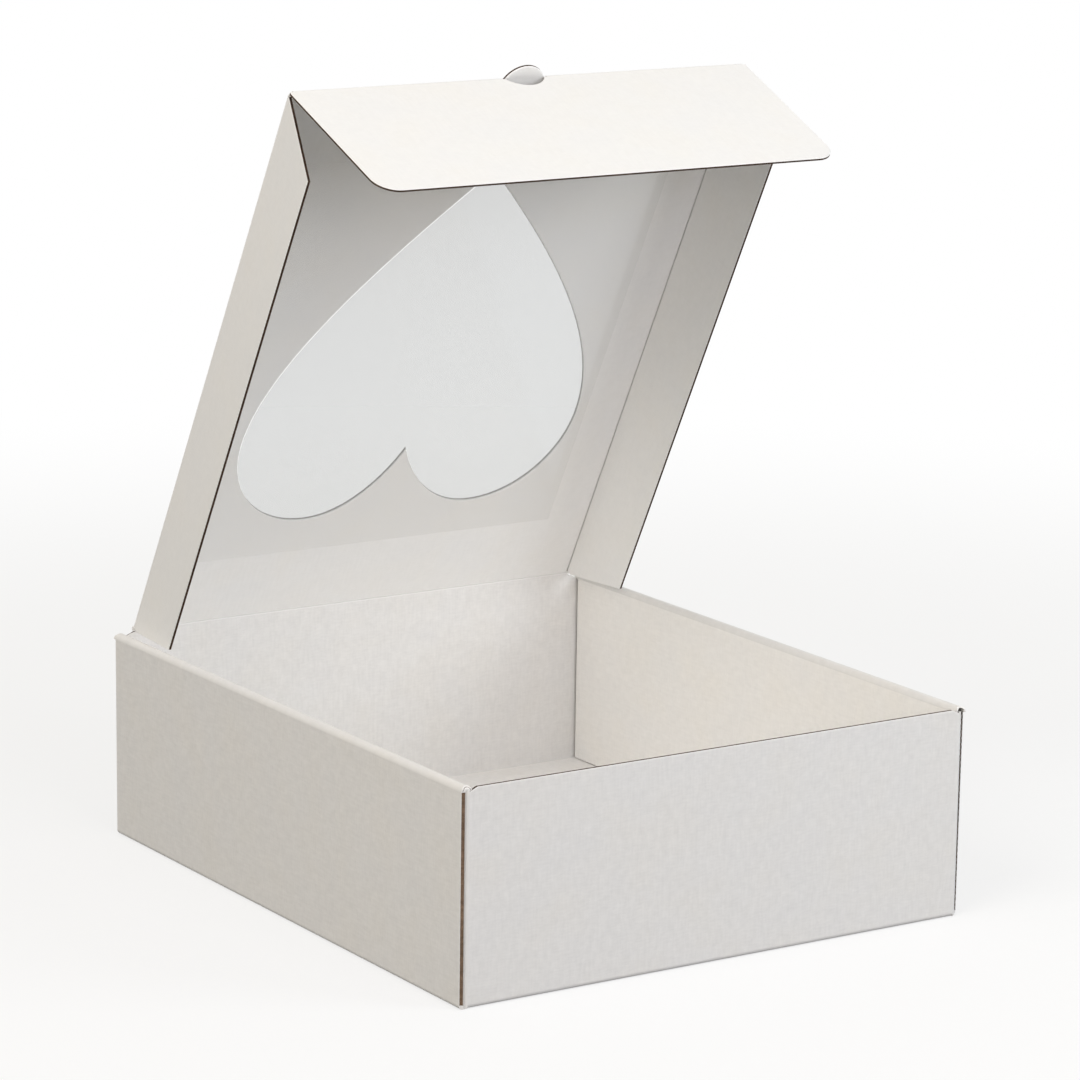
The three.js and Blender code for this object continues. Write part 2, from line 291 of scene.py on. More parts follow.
def dressed(piece, face, is_white):
    """Gives each face of a piece the white paper or the brown inner paper."""
    piece.data.materials.clear()
    for material in (face, brown_paper):
        piece.data.materials.append(material)
    for polygon in piece.data.polygons:
        polygon.material_index = WHITE if is_white(polygon) else BROWN
    return piece


def pressed(sheet, side, depth, folds):
    """Presses a face paper's cut edges towards the other face, as the cutting die does."""
    edit(sheet, "FACE", lambda polygon: abs(polygon.normal.z) > 0.5)
    for thickness in (PRESSED_REACH, PRESSED_RING):
        bpy.ops.mesh.inset(thickness=thickness, use_even_offset=False)
    done(sheet)
    rim = {i for p in sheet.data.polygons if abs(p.normal.z) < 0.5 for i in p.vertices}

    def is_cut(vertex):
        beside = [abs((vertex.co - place).dot(across)) for place, across in folds]
        return vertex.index in rim and min(beside, default=1) > PRESSED_RING / 10

    edit(sheet, "VERT", is_cut)
    bpy.ops.transform.translate(value=(0, 0, -side * depth))
    done(sheet)


def liner(die, face, side, press, folds):
    """One face paper of a board, on the +Z or the -Z side, with the die's outline."""
    low, high = corners(die)
    near, far = sorted((side * board / 2, side * (board / 2 - LINER)))
    sheet = block("liner", (low.x - TRIM, low.y - TRIM, near), (high.x + TRIM, high.y + TRIM, far))
    cut(sheet, die, "INTERSECT", keep_tool=True)
    if press:
        pressed(sheet, side, press, folds)
    return dressed(sheet, face, lambda polygon: polygon.normal.z * side > 0.5)


def flutes(die, face, press):
    """The wavy middle paper: a flat grid is folded to a zigzag, and its creases are rounded."""
    low, high = corners(die)
    count = math.ceil((high.x - low.x + 2 * TRIM) / FLUTE_PITCH)
    depth = board - 2 * LINER - FLUTE_PAPER - 2 * press
    step = FLUTE_PITCH / 2
    middle = ((low.x + high.x) / 2, (low.y + high.y) / 2, 0)
    bpy.ops.object.select_all(action="DESELECT")
    bpy.ops.mesh.primitive_grid_add(x_subdivisions=2 * count, y_subdivisions=1, size=1, location=middle)
    sheet = bpy.context.object
    sheet.scale = (count * FLUTE_PITCH, high.y - low.y + 2 * TRIM, 1)
    bpy.ops.object.transform_apply()
    start, end = corners(sheet)[0].x, corners(sheet)[1].x
    edit(sheet, "VERT", lambda vertex: round((vertex.co.x - start) / step) % 2 == 0)
    bpy.ops.transform.translate(value=(0, 0, depth))
    done(sheet)

    def is_crease(edge):
        a, b = (sheet.data.vertices[i].co.x for i in edge.vertices)
        return abs(a - b) < step / 2 and start + step / 2 < a < end - step / 2

    edit(sheet, "EDGE", is_crease)
    bpy.ops.mesh.bevel(offset=FLUTE_PITCH * FLUTE_ROUNDING, segments=FLUTE_ROUND_STEPS, affect="EDGES")
    done(sheet)
    heights = [v.co.z for v in sheet.data.vertices if start + step < v.co.x < end - step]
    edit(sheet, "VERT")
    bpy.ops.transform.translate(value=(0, 0, -(max(heights) + min(heights)) / 2))
    fit = depth / (max(heights) - min(heights))
    bpy.ops.transform.resize(value=(1, 1, fit), center_override=(0, 0, 0))
    done(sheet)
    applied(sheet, "paper", "SOLIDIFY", thickness=FLUTE_PAPER, offset=0)
    cut(sheet, die, "INTERSECT", keep_tool=True)
    return dressed(sheet, face, lambda polygon: False)


def flat_pattern(piece, pattern=lambda place: place.xy):
    """Keeps where each point lies on the flat sheet, which the flutes' ribs follow."""
    while piece.data.uv_layers:
        piece.data.uv_layers.remove(piece.data.uv_layers[0])
    flat = piece.data.uv_layers.new(name="board")
    for loop in piece.data.loops:
        flat.data[loop.index].uv = pattern(piece.data.vertices[loop.vertex_index].co)
    return piece


def cut_board(name, die, face, press=0, folds=()):
    """A flat board with the die's outline. Its flutes run along Y, and its middle is at Z 0.

    The cut edges are pressed in by press on each face, but not those that lie on a fold."""
    folds = [(Vector(place), Vector(across).normalized()) for place, across in folds]
    for place, across in folds:
        for side in (-1, 1):
            slice_through(die, place + side * across * 2 * PRESSED_REACH, across)
    face_papers = [liner(die, face, side, press, folds) for side in (1, -1)]
    piece = joined(name, *face_papers, flutes(die, face, press))
    bpy.data.objects.remove(die)
    return flat_pattern(piece)


def noise(nodes, links, where, size, detail, stretch=(1, 1, 1)):
    """A noise pattern with blots of about the given size, drawn out along the axes by stretch."""
    mapping, texture = nodes.new("ShaderNodeMapping"), nodes.new("ShaderNodeTexNoise")
    socket(mapping, "Scale", Vector(1 / (size * s) for s in stretch))
    socket(texture, "Scale", 1.0)
    socket(texture, "Detail", detail)
    links.new(where, mapping.inputs["Vector"])
    links.new(mapping.outputs["Vector"], texture.inputs["Vector"])
    return texture.outputs["Fac"]


def coloured(nodes, links, pattern, colours, low=0.3, high=0.7):
    """Colours laid over a pattern, from the first at its value low to the last at high."""
    ramp = nodes.new("ShaderNodeValToRGB")
    elements = ramp.color_ramp.elements
    for index, colour in enumerate(colours):
        place = low + (high - low) * index / (len(colours) - 1)
        element = elements[index] if index < 2 else elements.new(place)
        element.position, element.color = place, (*colour, 1)
    links.new(pattern, ramp.inputs[0])
    return ramp.outputs[0]


def paper(name, colour, roughness, grain_depth, rib_height):
    """Board paper: faint clouds in the pulp, fibres across the flutes, and streaks along them."""
    material = bpy.data.materials.new(name)
    material.use_nodes = True
    nodes, links = material.node_tree.nodes, material.node_tree.links
    shader = nodes["Principled BSDF"]
    where = nodes.new("ShaderNodeTexCoord").outputs["Object"]
    uv_map = nodes.new("ShaderNodeUVMap")
    uv_map.uv_map = "board"
    flat = uv_map.outputs[0]
    warm = tuple(c * s for c, s in zip(colour, WARM_TINT))
    cool = tuple(c * s for c, s in zip(colour, COOL_TINT))
    clouds = noise(nodes, links, where, CLOUD_SIZE, 2)
    tint = coloured(nodes, links, clouds, [warm, colour, cool])
    dark = (1 - grain_depth,) * 3
    light = (1, 1, 1)
    for pattern in (
        noise(nodes, links, flat, FIBRE_SIZE, 3, FIBRE_STRETCH),
        noise(nodes, links, flat, STREAK_SIZE, 2, STREAK_STRETCH),
        noise(nodes, links, where, MOTTLE_SIZE, 4),
    ):
        mix = nodes.new("ShaderNodeMix")
        mix.data_type, mix.blend_type = "RGBA", "MULTIPLY"
        socket(mix, 0, 1)
        links.new(tint, mix.inputs[COLOUR_A])
        links.new(coloured(nodes, links, pattern, [dark, light]), mix.inputs[COLOUR_B])
        tint = mix.outputs[COLOUR_RESULT]
    links.new(tint, shader.inputs["Base Color"])
    socket(shader, "Roughness", roughness)
    socket(shader, "Specular IOR Level", 0.35)
    ribs = nodes.new("ShaderNodeTexWave")
    socket(ribs, "Scale", 1 / (WAVES_PER_METRE * FLUTE_PITCH))
    links.new(flat, ribs.inputs["Vector"])
    fibres = noise(nodes, links, where, FUZZ_SIZE, 3)
    relief, fuzz = nodes.new("ShaderNodeBump"), nodes.new("ShaderNodeBump")
    socket(relief, "Distance", rib_height)
    socket(relief, "Strength", 1)
    links.new(ribs.outputs["Fac"], relief.inputs["Height"])
    socket(fuzz, "Distance", FUZZ_DEPTH)
    socket(fuzz, "Strength", 0.4)
    links.new(fibres, fuzz.inputs["Height"])
    links.new(relief.outputs[0], fuzz.inputs["Normal"])
    links.new(fuzz.outputs[0], shader.inputs["Normal"])
    return material


def fixed(piece, body, slot_name, *nodes):
    """Smooths a finished piece's rounds, hangs it on the body that it rides on, and hides the parts that
    it stands for.
    """
    pick(piece)
    bpy.ops.object.shade_smooth_by_angle(angle=SMOOTH_ANGLE)
    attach(piece, body)
    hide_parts(*nodes)


brown_paper = paper("brown inner paper", (0.15, 0.09, 0.06), 0.9, 0.3, 0)
# The tray's inner faces are the same white paper as the outer ones, in a lighter copy: painted light for
# the light that bounces round inside the tray.
inside_white_painted_lighter = paper("white paper inside, painted lighter", (0.95, 0.935, 0.91), 0.62, 0.035, 0.000014)

floor_x, floor_y = half_width - FOLD_RADIUS, half_depth - FOLD_RADIUS
die = block("die", (-floor_x, -floor_y, -board), (floor_x, floor_y, board))
slot_middle = inner_face + board / 2
for side in (-1, 1):
    for along in (-SLOT_SPACING / 2, SLOT_SPACING / 2):
        slot_low = (side * slot_middle - SLOT_WIDTH / 2, along - SLOT_LENGTH / 2, -2 * board)
        slot_high = (side * slot_middle + SLOT_WIDTH / 2, along + SLOT_LENGTH / 2, 2 * board)
        cut(die, block("slot", slot_low, slot_high), "DIFFERENCE")
floor_board = placed(cut_board("floor_board", die, inside_white_painted_lighter), laid(X, Y, (0, 0, board / 2)))
fixed(floor_board, "tray", "inside_board", "base_panel")

# Side walls. The sheet turns up from the floor, rolls right over the top and comes down again
# inside, where two tabs lock it in the floor. The roll is crushed board, hollow at one end. The
# flutes run from front to back. One end of each outer wall shows them, the other is crushed.
WALL_TOP = 0.107
FOLD_STEPS = 6
ROLL_STEPS = 18
ROLL_FACE, ROLL_CORE, ROLL_BACK = 0.0006, 0.0002, 0.0015
ROLL_END_SLANT = 0.0015
WALL_END_PRESS, EDGE_PRESS = 0.00006, 0.0004
SET_BACK_TOP, SET_BACK_FOOT = 0.0022, 0.0028
FRONT_SLANT, CRUSHED_DEPTH = 0.0009, 0.00025
HOLLOW_REACH = 0.012
TAB_WIDTH, TAB_TAPER, TAB_FOOT = 0.04, 0.002, 0.0004
INNER_WALL_FOOT = 0.0021
MERGE_DISTANCE = 0.000001

# The darker copy of the one white paper, on the faces outside the tray; the inner faces' copy is painted
# lighter.
outside_white = paper("white paper outside", (0.85, 0.838, 0.818), 0.6, 0.045, 0.00001)
# A lighter copy of the brown inner paper for the outer walls' cut ends: painted light where the lamps at
# the left fall on the slanted front end. The paper itself is the same.
brown_painted_lighter = paper("brown paper painted lighter", (0.34, 0.23, 0.155), 0.9, 0.3, 0)


def section(low, high):
    """A flat cross-section square to X, Y or Z, to be swept along."""
    low, high = Vector(low), Vector(high)
    size = high - low
    rotation, scale = (0, 0, 0), (size.x, size.y, 1)
    if size.x == 0:
        rotation, scale = (0, math.pi / 2, 0), (size.z, size.y, 1)
    if size.y == 0:
        rotation, scale = (math.pi / 2, 0, 0), (size.x, size.z, 1)
    bpy.ops.object.select_all(action="DESELECT")
    bpy.ops.mesh.primitive_plane_add(size=1, location=(low + high) / 2, rotation=rotation)
    bpy.context.object.scale = scale
    bpy.ops.object.transform_apply()
    return bpy.context.object


def bent(piece, centre, axis, degrees, steps, face):
    """Sweeps a cross-section round a fold, with white paper over its ends and no ribs."""
    edit(piece, "FACE")
    bpy.ops.mesh.spin(steps=steps, angle=-math.radians(degrees), center=centre, axis=axis)
    bpy.ops.mesh.select_all(action="SELECT")
    bpy.ops.mesh.remove_doubles(threshold=MERGE_DISTANCE)
    bpy.ops.mesh.normals_make_consistent(inside=False)
    done(piece)
    dressed(piece, face, lambda polygon: True)
    return flat_pattern(piece, lambda place: (0, 0))


die = block("die", (FOLD_RADIUS, -half_depth, -board), (WALL_TOP, half_depth, board))
foot_end = half_depth - SET_BACK_FOOT
end_slope = Vector((SET_BACK_TOP - SET_BACK_FOOT, WALL_TOP - FOLD_RADIUS, 0))
slice_through(die, (FOLD_RADIUS, foot_end, 0), end_slope, clear=True)
front_slant = Vector((0, -board, FRONT_SLANT))
slice_through(die, (0, -half_depth, -board / 2), front_slant, clear=True)
folds = [((FOLD_RADIUS, 0, 0), X), ((WALL_TOP, 0, 0), X)]
wall = cut_board("wall", die, outside_white, WALL_END_PRESS, folds)
core = board / 2 - LINER - WALL_END_PRESS
# The outer paper's front end is white paper. At the rear end, which stands back in the shade of the
# corner, every cut end, the brown flutes' too, is given the white paper: painted light that lifts that
# shaded end.
for polygon in wall.data.polygons:
    is_outer_paper_end = polygon.normal.y < -0.5 and polygon.center.z > core
    is_rear_end_painted_white = polygon.normal.y > 0.5 and polygon.center.y > 0
    if is_outer_paper_end or is_rear_end_painted_white:
        polygon.material_index = WHITE
low, high = (FOLD_RADIUS, -half_depth, -core), (WALL_TOP, -half_depth + TRIM / 2, core)
crushed = block("crushed", low, high)
slice_through(crushed, (0, -half_depth + CRUSHED_DEPTH, -board / 2), front_slant, clear=True)
dressed(crushed, outside_white, lambda polygon: False)
wall = joined("wall", wall, flat_pattern(crushed))
placed(wall, laid(Z, Y, (-half_width + board / 2, 0, 0)))
foot = section((-floor_x, -half_depth, 0), (-floor_x, foot_end, board))
bent(foot, (-floor_x, 0, FOLD_RADIUS), Y, 90, FOLD_STEPS, outside_white)
foot_slant = Vector((-FRONT_SLANT, -board, 0))
slice_through(foot, (-half_width, -half_depth + FRONT_SLANT, 0), foot_slant, clear=True)
left_outer = joined("left_outer_wall_board", wall, foot)
# The outer wall's brown faces, the crushed front end among them, take the lighter copy: painted light on
# its cut ends.
left_outer.data.materials[BROWN] = brown_painted_lighter

roll_radius = (half_width - inner_face) / 2
roll_middle = -half_width + roll_radius
roll_low, roll_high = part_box("left_roll_top")
papers = []
outside = -half_width
for thickness in (ROLL_FACE, ROLL_CORE, ROLL_BACK):
    rear_end = roll_high.y - (HOLLOW_REACH if papers else 0)
    low = (outside, roll_low.y, WALL_TOP)
    high = (outside + thickness, rear_end, WALL_TOP)
    outside += thickness
    arch = bent(section(low, high), (roll_middle, 0, WALL_TOP), Y, 180, ROLL_STEPS, outside_white)
    for end in (roll_low.y, roll_high.y):
        slant = Vector((0, math.copysign(1, end), 1))
        point = (0, end - slant.y * ROLL_END_SLANT, roll_high.z)
        slice_through(arch, point, slant, clear=True)
    papers.append(arch)
for polygon in papers[1].data.polygons:
    polygon.material_index = BROWN
left_roll = joined("left_roll_board", *papers)

inner_low, inner_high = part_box("left_inner_wall")
die = block("die", (INNER_WALL_FOOT, inner_low.y, -board), (WALL_TOP, inner_high.y, board))
for along in (-SLOT_SPACING / 2, SLOT_SPACING / 2):
    for end in (-TAB_WIDTH / 2, TAB_WIDTH / 2):
        slice_through(die, (0, along + end, 0), Y)


def is_tab_root(polygon):
    centre = polygon.center
    along = abs(abs(centre.y) - SLOT_SPACING / 2)
    return abs(centre.x - INNER_WALL_FOOT) < TAB_FOOT and along < TAB_WIDTH / 4


for side in (-1, 1):
    edit(die, "FACE", lambda polygon: is_tab_root(polygon) and polygon.center.y * side > 0)
    reach = (TAB_FOOT - INNER_WALL_FOOT, 0, 0)
    bpy.ops.mesh.extrude_region_move(TRANSFORM_OT_translate={"value": reach})
    middle = (0, side * SLOT_SPACING / 2, 0)
    narrowing = 1 - 2 * TAB_TAPER / TAB_WIDTH
    bpy.ops.transform.resize(value=(1, narrowing, 1), center_override=middle)
    done(die)
folds = [((WALL_TOP, 0, 0), X)]
left_inner = cut_board("left_inner_wall_board", die, inside_white_painted_lighter, EDGE_PRESS, folds)
placed(left_inner, laid(Z, Y, (-inner_face - board / 2, 0, 0)))


def turned_copy(piece, name):
    """The like piece on the other side: the tray's halves are the same when it is turned round."""
    pick(piece)
    bpy.ops.object.duplicate()
    copy = bpy.context.object
    copy.name = name
    return placed(copy, Matrix.Rotation(math.pi, 4, "Z"))


for piece, part, slot_name in (
    (left_outer, "outer_wall", "outside_board"),
    (left_roll, "roll_top", "outside_board"),
    (left_inner, "inner_wall", "inside_board"),
):
    right_piece = turned_copy(piece, piece.name.replace("left", "right"))
    fixed(right_piece, "tray", slot_name, f"right_{part}")
    fixed(piece, "tray", slot_name, f"left_{part}")

# Front and back walls, each a single panel that is lowered at both ends to clear the rolled sides.
# The front one's raw top edge shows its flutes, the back one carries the lid. From each end a flap
# turns back between the two layers of the side wall, which holds the corner.
SHOULDER, NOTCH_START, BACK_NOTCH_START = 0.107, 0.1412, 0.1372
FRONT_PRESS, BACK_PRESS = 0.0002, 0.0006
FLAP_FOOT, FLAP_TOP = 0.0026, 0.1065
BEND_FOOT, BEND_TOP = 0.0003, 0.1074
FLAP_TAPER = 0.01

corner_x = half_width - board - SIDE_LAYER_GAP - FOLD_RADIUS
corner_flap_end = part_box("front_left_corner_flap")[1].y


def end_wall(name, top, notch_start, press, top_is_fold):
    """A wall at the front, with the bend at its foot and its top lowered towards both ends."""
    die = block("die", (-corner_x, FOLD_RADIUS, -board), (corner_x, top, board))
    for side in (-1, 1):
        outward = Vector((side * (top - SHOULDER), corner_x - notch_start, 0))
        slice_through(die, (side * notch_start, top, 0), outward, clear=True)
    folds = [((0, FOLD_RADIUS, 0), Y), ((corner_x, 0, 0), X), ((-corner_x, 0, 0), X)]
    if top_is_fold:
        folds.append(((0, top, 0), Y))
    upright = cut_board(name, die, outside_white, press, folds)
    placed(upright, laid(X, Z, (0, -half_depth + board / 2, 0)))
    foot = section((-corner_x, -floor_y, 0), (corner_x, -floor_y, board))
    bent(foot, (0, -floor_y, FOLD_RADIUS), X, -90, FOLD_STEPS, outside_white)
    return joined(name, upright, foot)


def corner_flap(name):
    """The flap at the front wall's left end, with the bend that joins the two."""
    die = block("die", (-floor_y, FLAP_FOOT, -board), (corner_flap_end, FLAP_TOP, board))
    for height, slope in ((FLAP_FOOT, -1), (FLAP_TOP, 1)):
        corner = (corner_flap_end - FLAP_TAPER, height, 0)
        slice_through(die, corner, Vector((1, slope, 0)), clear=True)
    middle = -corner_x - FOLD_RADIUS + board / 2
    flap = cut_board(name, die, inside_white_painted_lighter, EDGE_PRESS, [((-floor_y, 0, 0), X)])
    placed(flap, laid(Y, Z, (middle, 0, 0)))
    edge = section((-corner_x, -half_depth, BEND_FOOT), (-corner_x, -half_depth + board, BEND_TOP))
    bent(edge, (-corner_x, -floor_y, 0), Z, -90, FOLD_STEPS, outside_white)
    return joined(name, flap, edge)


def mirrored_copy(piece, name):
    """The like piece on the other side of the box's middle."""
    pick(piece)
    bpy.ops.object.duplicate()
    copy = bpy.context.object
    copy.name = name
    placed(copy, Matrix.Scale(-1, 4, X))
    edit(copy, "FACE")
    bpy.ops.mesh.normals_make_consistent(inside=False)
    return done(copy)


front_top, back_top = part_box("front_wall")[1].z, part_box("back_wall")[1].z
front_wall = end_wall("front_wall_board", front_top, NOTCH_START, FRONT_PRESS, False)
fixed(front_wall, "tray", "outside_board", "front_wall")
back_wall = end_wall("back_wall", back_top, BACK_NOTCH_START, BACK_PRESS, True)
back_board = turned_copy(back_wall, "back_wall_board")
bpy.data.objects.remove(back_wall)
fixed(back_board, "tray", "outside_board", "back_wall")
front_left = corner_flap("front_left_corner_board")
front_right = mirrored_copy(front_left, "front_right_corner_board")
back_right = turned_copy(front_left, "back_right_corner_board")
back_left = turned_copy(front_right, "back_left_corner_board")
for piece in (front_left, front_right, back_right, back_left):
    fixed(piece, "tray", "inside_board", piece.name.replace("board", "flap"))

# Lid panel, held open at 62 degrees by its side flaps. The heart is die-cut, with its tip towards
# the lid's front, and a half-moon tab for the thumb stays in the lid's plane at the front edge.
CREASE_REACH = 0.0013
HINGE_REACH = 0.00105
FOLD_LINE_REAR, FOLD_LINE_FRONT = 0.1381, 0.1361
THUMB_RADIUS, THUMB_CENTRE = 0.01327, 0.00567
ARC_STEPS = 64
HEART_CURVE_STEPS = 24
HEART_HANDLE, LOBE_HANDLE, FLANK_HANDLE = 0.552, 0.46, 0.268
TIP_HANDLE, CLEFT_HANDLE = (0.63, 0.59), (0.115, 0.35)
CLEFT, LOBE, WIDEST, TIP = -0.1065, -0.0645, -0.12, -0.288
HEART_HALF, LOBE_MIDDLE = 0.105, 0.052

pivots = {joint["name"]: Vector(joint["pos_m"]) for joint in frame["joints"]}
along_lid = pivots["tuck_flap_fold"] - pivots["lid_hinge"]
lid_length = along_lid.length
lid_slope = math.atan2(along_lid.z, -along_lid.y)
lid_place = Matrix.Translation(pivots["lid_hinge"]) @ Matrix.Rotation(-lid_slope, 4, "X")

lid_white = paper("white paper of the lid", (0.89, 0.883, 0.866), 0.6, 0.018, 0.00001)


def disc(y, radius):
    """A round die on the lid's middle line, for the thumb tab and the notch that it leaves."""
    bpy.ops.object.select_all(action="DESELECT")
    middle, depth = (0, y, 0), 2 * board
    bpy.ops.mesh.primitive_cylinder_add(vertices=ARC_STEPS, radius=radius, depth=depth, location=middle)
    bpy.ops.object.transform_apply()
    return bpy.context.object


def heart_die():
    """A solid heart: six curve points from the cleft round the right lobe to the tip and back."""
    flank = WIDEST + (TIP - WIDEST) * FLANK_HANDLE
    near_tip = (HEART_HALF * TIP_HANDLE[0], WIDEST + (TIP - WIDEST) * TIP_HANDLE[1])
    lobe_out = LOBE_MIDDLE + (HEART_HALF - LOBE_MIDDLE) * HEART_HANDLE
    above_widest = WIDEST + (LOBE - WIDEST) * HEART_HANDLE
    beside_cleft = (LOBE_MIDDLE * CLEFT_HANDLE[0], CLEFT + (LOBE - CLEFT) * CLEFT_HANDLE[1])
    right_side = [
        ((LOBE_MIDDLE, LOBE), (LOBE_MIDDLE * LOBE_HANDLE, LOBE), (lobe_out, LOBE)),
        ((HEART_HALF, WIDEST), (HEART_HALF, above_widest), (HEART_HALF, flank)),
    ]
    left_side = [[(-x, y) for x, y in (place, after, before)] for place, before, after in right_side[::-1]]
    cleft = ((0, CLEFT), (-beside_cleft[0], beside_cleft[1]), beside_cleft)
    tip = ((0, TIP), near_tip, (-near_tip[0], near_tip[1]))
    bpy.ops.object.select_all(action="DESELECT")
    bpy.ops.curve.primitive_bezier_curve_add()
    heart = bpy.context.object
    shape = heart.data
    shape.dimensions, shape.fill_mode = "2D", "BOTH"
    shape.resolution_u, shape.extrude = HEART_CURVE_STEPS, board
    spline = shape.splines[0]
    spline.use_cyclic_u = True
    points = [cleft, *right_side, tip, *left_side]
    spline.bezier_points.add(len(points) - 2)
    for point, (place, before, after) in zip(spline.bezier_points, points):
        point.handle_left_type = point.handle_right_type = "FREE"
        point.co, point.handle_left, point.handle_right = ((*p, 0) for p in (place, before, after))
    bpy.ops.object.convert(target="MESH")
    edit(heart, "FACE")
    bpy.ops.mesh.remove_doubles(threshold=MERGE_DISTANCE)
    bpy.ops.mesh.normals_make_consistent(inside=False)
    return done(heart)


rear_x, front_x = FOLD_LINE_REAR - CREASE_REACH, FOLD_LINE_FRONT - CREASE_REACH
front_y = -lid_length + CREASE_REACH
die = block("die", (-rear_x, front_y, -board), (rear_x, -HINGE_REACH, board))
for side in (-1, 1):
    outward = Vector((side * (-HINGE_REACH - front_y), front_x - rear_x, 0))
    slice_through(die, (side * rear_x, -HINGE_REACH, 0), outward, clear=True)
cut(die, disc(-lid_length + THUMB_CENTRE, THUMB_RADIUS), "UNION")
cut(die, heart_die(), "DIFFERENCE")
side_fold = Vector((-HINGE_REACH - front_y, front_x - rear_x, 0))
folds = [((0, -HINGE_REACH, 0), Y), ((0, front_y, 0), Y)]
folds += [((side * rear_x, -HINGE_REACH, 0), (side * side_fold.x, side_fold.y, 0)) for side in (-1, 1)]
lid_board = placed(cut_board("lid_board", die, lid_white, EDGE_PRESS, folds), lid_place)
fixed(lid_board, "lid", "lid_board", "lid_panel")

# Tuck flap at the lid's front, with round corners, a notch left by the thumb tab, and flutes that
# show along its free edge.
TUCK_LENGTH, TUCK_LEAN, TUCK_TAPER = 0.095, 4, 0.0015
TUCK_ROUND, TUCK_ROUND_STEPS = 0.012, 10
NOTCH_RADIUS, NOTCH_CENTRE = 0.01353, 0.00563

tuck_half = FOLD_LINE_FRONT + board / 2
die = block("die", (-tuck_half, -TUCK_LENGTH, -board), (tuck_half, -CREASE_REACH, board))
for side in (-1, 1):
    outward = Vector((side * (TUCK_LENGTH - CREASE_REACH), -TUCK_TAPER, 0))
    slice_through(die, (side * tuck_half, -CREASE_REACH, 0), outward, clear=True)


def is_free_corner(edge):
    a, b = (die.data.vertices[i].co for i in edge.vertices)
    return max(a.y, b.y) < -TUCK_LENGTH + TRIM and abs(a.z - b.z) > board


edit(die, "EDGE", is_free_corner)
bpy.ops.mesh.bevel(offset=TUCK_ROUND, segments=TUCK_ROUND_STEPS, affect="EDGES")
done(die)
cut(die, disc(NOTCH_CENTRE, NOTCH_RADIUS), "DIFFERENCE")
lid_front = lid_place @ Matrix.Translation((0, -lid_length, 0))
tuck_place = lid_front @ Matrix.Rotation(math.radians(90 - TUCK_LEAN), 4, "X")
tuck_board = cut_board("tuck_flap_board", die, lid_white, EDGE_PRESS, [((0, -CREASE_REACH, 0), Y)])
placed(tuck_board, tuck_place)
fixed(tuck_board, "tuck_flap", "lid_board", "tuck_flap")

# Side flaps of the lid. Their flutes run along the fold, so their long free edges are smooth. The
# rear ends are cut to lie level over the side walls, and the front ends clear the tuck flap.
SIDE_FLAP_DEPTH, SIDE_FLAP_SPLAY = 0.043, 6
SIDE_FLAP_START, SIDE_FLAP_FRONT_GAP, SIDE_FLAP_BEVEL = 0.0012, 0.0016, 0.023
SIDE_FLAP_PRESS = 0.00025

fold_turn = math.atan2(FOLD_LINE_REAR - FOLD_LINE_FRONT, lid_length)
right_fold = lid_place @ Matrix.Translation((FOLD_LINE_REAR, 0, 0)) @ Matrix.Rotation(-fold_turn, 4, "Z")
flap_front = -lid_length + SIDE_FLAP_FRONT_GAP
low = (CREASE_REACH, flap_front, -board)
die = block("die", low, (SIDE_FLAP_DEPTH, -SIDE_FLAP_START, board))
rear_y = (board / 2 - SIDE_FLAP_DEPTH * math.cos(lid_slope)) / math.sin(lid_slope)
rear_outward = Vector((math.cos(lid_slope), math.sin(lid_slope), 0))
slice_through(die, (SIDE_FLAP_DEPTH, rear_y, 0), rear_outward, clear=True)
bevel_rise = SIDE_FLAP_BEVEL - SIDE_FLAP_FRONT_GAP
bevel_outward = Vector((bevel_rise, -(SIDE_FLAP_DEPTH - CREASE_REACH), 0))
slice_through(die, (CREASE_REACH, flap_front, 0), bevel_outward, clear=True)
flap_turn = Matrix.Rotation(math.radians(90 - SIDE_FLAP_SPLAY), 4, "Y")
folds = [((CREASE_REACH, 0, 0), X)]
right_flap = cut_board("right_side_flap_board", die, lid_white, SIDE_FLAP_PRESS, folds)
placed(right_flap, right_fold @ flap_turn)
left_flap = mirrored_copy(right_flap, "left_side_flap_board")
fixed(right_flap, "right_side_flap", "lid_board", "lid_right_flap")
fixed(left_flap, "left_side_flap", "lid_board", "lid_left_flap")

# Creases of the lid. Along each fold the board is crushed, so that it turns in a tight round and
# its inner face is pinched to a groove.
CREASE_STEPS = 8
CREASE_SMOOTH_ANGLE = math.radians(50)
GROOVE, SIDE_GROOVE = (0.0005, 0.15), (0.0012, 0.85)
THUMB_END = 0.0133


def crease(name, start, end, reach, degrees, groove, matrix, node):
    """A strip of board round a fold on its own X axis, from the panel on its +Y side down to -Z."""
    pinch, spread = groove
    half = math.radians(degrees) / 2
    radius = reach / math.tan(half)
    middle = Vector((0, reach, -radius))
    towards = Vector((0, -math.sin(half), math.cos(half)))
    strip = section((start, reach, -board / 2), (end, reach, board / 2))
    bent(strip, middle, X, degrees, CREASE_STEPS, lid_white)

    def is_groove(vertex):
        arm = vertex.co - middle
        arm.x = 0
        return arm.length < radius and arm.angle(towards) < half * spread

    edit(strip, "VERT", is_groove)
    bpy.ops.transform.translate(value=towards * pinch)
    done(strip)
    placed(strip, matrix)
    strip.name = name
    pick(strip)
    bpy.ops.object.shade_smooth_by_angle(angle=CREASE_SMOOTH_ANGLE)
    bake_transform(strip)
    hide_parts(node)


